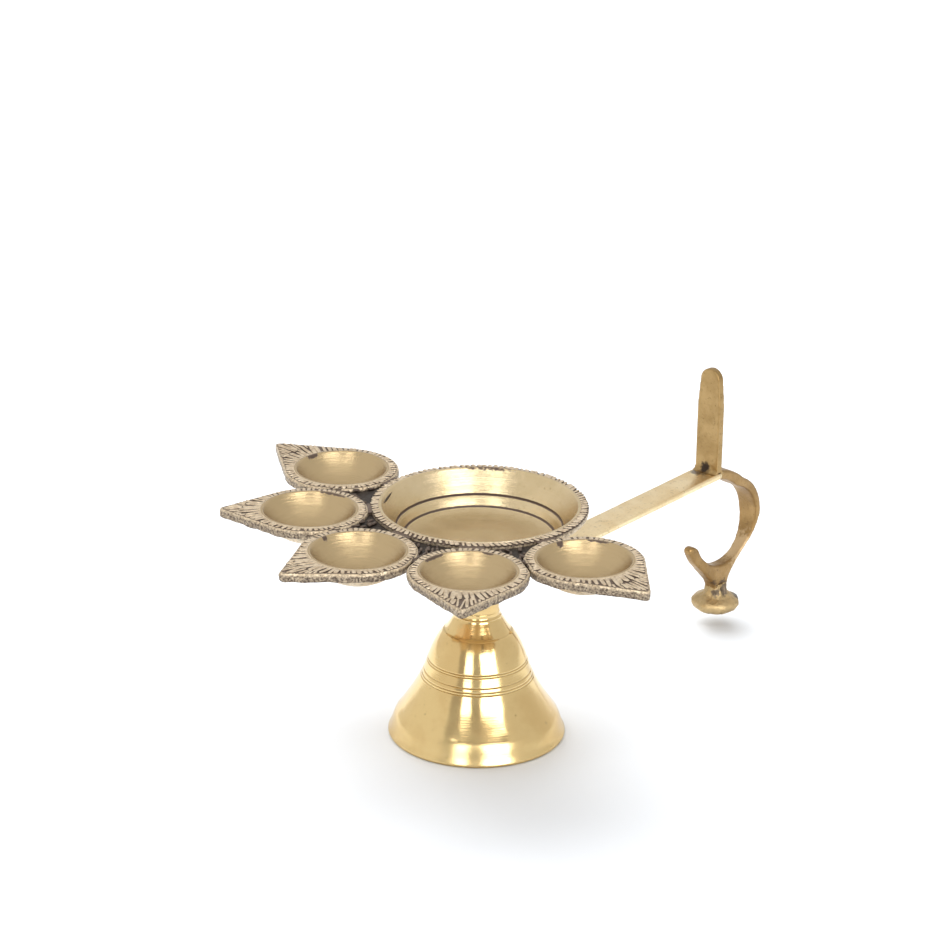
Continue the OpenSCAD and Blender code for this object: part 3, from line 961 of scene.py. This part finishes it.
# Thumb leaf: an upright brass tongue brazed on the arm's end, with a rounded top. A small fillet
# of filler runs along each side of its root, pitted and stained dark from the torch.
def softened(node, name, material, voxel, rounds, uneven, scale):
    """A piece of the handle with its edges filed round and its faces a little uneven."""
    work = bmesh.new()
    work.from_mesh(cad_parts[node].data)
    bmesh.ops.remove_doubles(work, verts=work.verts, dist=0.002 * mm)
    mesh = bpy.data.meshes.new(name)
    work.to_mesh(mesh)
    work.free()
    piece = bpy.data.objects.new(name, mesh)
    scene.collection.objects.link(piece)
    grid = piece.modifiers.new("grid", "REMESH")
    grid.mode, grid.voxel_size, grid.use_smooth_shade = "VOXEL", voxel * mm, True
    file_down = piece.modifiers.new("file_down", "SMOOTH")
    file_down.factor, file_down.iterations = 0.5, rounds
    made_plain(piece)
    normals = [vertex.normal.copy() for vertex in piece.data.vertices]
    for vertex, normal in zip(piece.data.vertices, normals):
        dip = noise.fractal(vertex.co * scale, 1.0, 2.0, 3) - 0.45
        vertex.co += normal * min(0.0, dip) * uneven * mm
    piece.data.materials.clear()
    piece.data.materials.append(material)
    piece.data.polygons.foreach_set("use_smooth", [True] * len(piece.data.polygons))
    return piece


leaf_brass = handle_finish(
    "leaf_brass", (0.42, 0.28, 0.122), (0.345, 0.225, 0.092), 0.32, 0.46,
    stains=[((0.1264, 0.0003, 0.0686), 0.0030, 0.9)], dark=(0.05, 0.035, 0.025),
)
leaf = softened(
    "thumb_leaf", "thumb_leaf_filed", leaf_brass, voxel=0.34, rounds=6, uneven=0.06, scale=90,
)
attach(leaf, "head")
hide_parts("thumb_leaf")

FILLET_STEPS, HALF_WIDTH, SUNK = 23, 5.5, 0.7
braze_points, braze_faces = [], []
for side_x, way, foot in ((127.0, -1, 66.9), (130.0, 1, 66.85)):  # each face of the leaf
    sections = []
    for step in range(FILLET_STEPS):
        y = -HALF_WIDTH + 0.5 * step
        r = 2.3 + 0.8 * noise.noise(Vector((side_x, y * 0.7, 2.0)))
        r *= 1 - 0.45 * abs(y / HALF_WIDTH) ** 4
        inside = side_x - way * 0.5
        section = [(inside, foot + r)]
        for k in range(8):
            turn = math.radians(90 * k / 7)
            section.append((side_x + way * (r - r * math.cos(turn)), foot + r - r * math.sin(turn)))
        section += [(side_x + way * r, foot - SUNK), (inside, foot - SUNK)]
        sections.append([(x, y, z) for x, z in section])
    loft(braze_points, braze_faces, sections)
braze = closed_mesh("leaf_braze", braze_points, braze_faces, [leaf_brass], sharp=50)
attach(braze, "head")


# Finger hook: a C-shaped cast bar under the arm's end with a pointed horn. One finger goes
# through it, and it thins towards the horn.
hook_brass = handle_finish(
    "hook_brass", (0.38, 0.24, 0.10), (0.30, 0.185, 0.074), 0.32, 0.46,
    stains=[((0.1365, -0.0035, 0.0170), 0.0034, 1.6), ((0.1310, -0.0035, 0.0188), 0.0026, 1.6)],
    dark=(0.12, 0.08, 0.05), coarse=1.3,
    # painted highlight: a pale patch on the hook's lower curve, which lies in shade
    worn=((0.1480, -0.0020, 0.0290), 0.0090, (0.60, 0.435, 0.25)),
)
hook = softened(
    "finger_hook", "finger_hook_filed", hook_brass, voxel=0.42, rounds=30, uneven=0.08, scale=60,
)
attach(hook, "head")
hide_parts("finger_hook")


# Foot button: a rough cast button brazed under the hook. Its rim is knocked into uneven flats,
# and the braze above it is pitted.
button_brass = handle_finish(
    "button_brass", (0.55, 0.40, 0.205), (0.44, 0.315, 0.155), 0.34, 0.5,
    stains=[
        ((0.1430, -0.0050, 0.0105), 0.0036, 0.8), ((0.1365, -0.0040, 0.0155), 0.0030, 1.7),
        ((0.1325, -0.0030, 0.0150), 0.0022, 1.7),
    ],
    dark=(0.17, 0.13, 0.09), coarse=2.5,
)
low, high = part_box("foot_button")
button_x = (low.x + high.x) / 2 / mm
profile = [
    (0, 6.5), (5, 6.5), (7.0, 6.6), (8.3, 7.3), (9.1, 8.2), (9.55, 9.3), (9.6, 10.4), (9.2, 11.1),
    (8.2, 11.7), (6.6, 12.5), (5.4, 13.2), (4.7, 14.0), (4.4, 15.0), (4.2, 16.2), (4.0, 17.2),
    (3.5, 18.0), (0, 18.2),
]
FLATS, BRAZE_LEVEL = 7, 12.9


def knocked(r, z, turn):
    """The button's uneven rim, and the lumpy braze round the foot of the hook."""
    x, y = r * math.cos(turn), r * math.sin(turn)
    rough = noise.fractal(Vector((x * 0.45, y * 0.45, z * 0.45)), 1.0, 2.0, 5)
    if z > BRAZE_LEVEL:
        return r * (0.93 + 0.07 * abs(math.cos(turn))) + 0.9 * rough
    side = (turn + 0.35) % (2 * math.pi / FLATS) - math.pi / FLATS
    flat = max(0.0, 1 - 0.955 / math.cos(side)) if r > 6 else 0.0
    return r * (1 - flat * 0.9) - 0.45 * abs(rough) * min(1.0, r / 8)


points, faces = turned(profile, around=96, radius=knocked)
button = closed_mesh(
    "foot_button_cast", [(x + button_x, y, z) for x, y, z in points], faces, [button_brass],
    sharp=60,
)
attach(button, "head")
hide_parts("foot_button")


# The setting: a plain white floor in an even pale room. Tall soft boxes stand to the left and
# right behind the viewpoint, a wide one hangs above them, and a big one lights from the far side.
FLOOR_HALF, FLOOR_LEVEL = 6, -0.0001
floor_mesh = bpy.data.meshes.new("floor")
floor_corners = [(-1, -1), (1, -1), (1, 1), (-1, 1)]
floor_mesh.from_pydata(
    [(x * FLOOR_HALF, y * FLOOR_HALF, FLOOR_LEVEL) for x, y in floor_corners], [], [(0, 1, 2, 3)],
)
floor = bpy.data.objects.new("floor", floor_mesh)
scene.collection.objects.link(floor)
floor_white, tree, shader, place = finish("floor_white")
shader.inputs["Base Color"].default_value = (0.79, 0.82, 0.86, 1)
shader.inputs["Roughness"].default_value = 0.9
shader.inputs["Specular IOR Level"].default_value = 0.2
floor_mesh.materials.append(floor_white)

room = bpy.data.worlds.new("room")
scene.world = room
room.use_nodes = True
tree = room.node_tree
facing = wired(tree, "ShaderNodeTexCoord").outputs["Generated"]


def darker_side(direction, start, full, amount):
    """How much darker the room is towards one side of it."""
    dot = wired(tree, "ShaderNodeVectorMath", {0: facing, 1: direction}, operation="DOT_PRODUCT")
    return ramp(tree, dot.outputs["Value"], start, full, 0.0, amount, "SMOOTHSTEP")


front_side = darker_side((-0.65, -0.60, 0.46), 0.69, 0.76, 0.42)
back_side = darker_side((0.66, 0.63, 0.40), 0.72, 0.96, 0.12)
right_side = darker_side((0.55, -0.78, 0.30), 0.55, 0.95, 0.16)
darker = maths(tree, "ADD", maths(tree, "ADD", front_side, back_side), right_side)
fill(tree, tree.nodes["Background"].inputs["Strength"], maths(tree, "SUBTRACT", 0.95, darker))
tree.nodes["Background"].inputs["Color"].default_value = (1.0, 0.995, 0.985, 1)


def soft_box(name, turn, rise, distance, wide, tall, radiance):
    """An area light aimed at the lamp, set by the brightness of its face."""
    light = bpy.data.lights.new(name, "AREA")
    light.shape, light.size, light.size_y = "RECTANGLE", wide, tall
    light.energy = radiance * math.pi * wide * tall
    box = bpy.data.objects.new(name, light)
    scene.collection.objects.link(box)
    out_to = toward(math.radians(turn), math.radians(rise))
    box.location = out_to * distance + aim
    box.rotation_euler = out_to.to_track_quat("Z", "Y").to_euler()
    box.visible_camera = False
    return box


FRONT = -46  # the viewpoint's own turn
# turn and rise in degrees, distance, width and height in metres, brightness
soft_box("left_box", FRONT - 20.5, 21, 1.6, 0.46, 0.76, 4.2).visible_diffuse = False
soft_box("right_box", FRONT + 27, 21, 1.6, 1.05, 0.76, 6.2).visible_diffuse = False
soft_box("high_box", FRONT, 57, 1.6, 1.8, 0.30, 3.6)
soft_box("far_box", 170, 58, 1.7, 2.1, 2.1, 2.85).visible_glossy = False

scene.view_settings.view_transform = "Standard"
scene.view_settings.look = "None"

low, high = cad_box
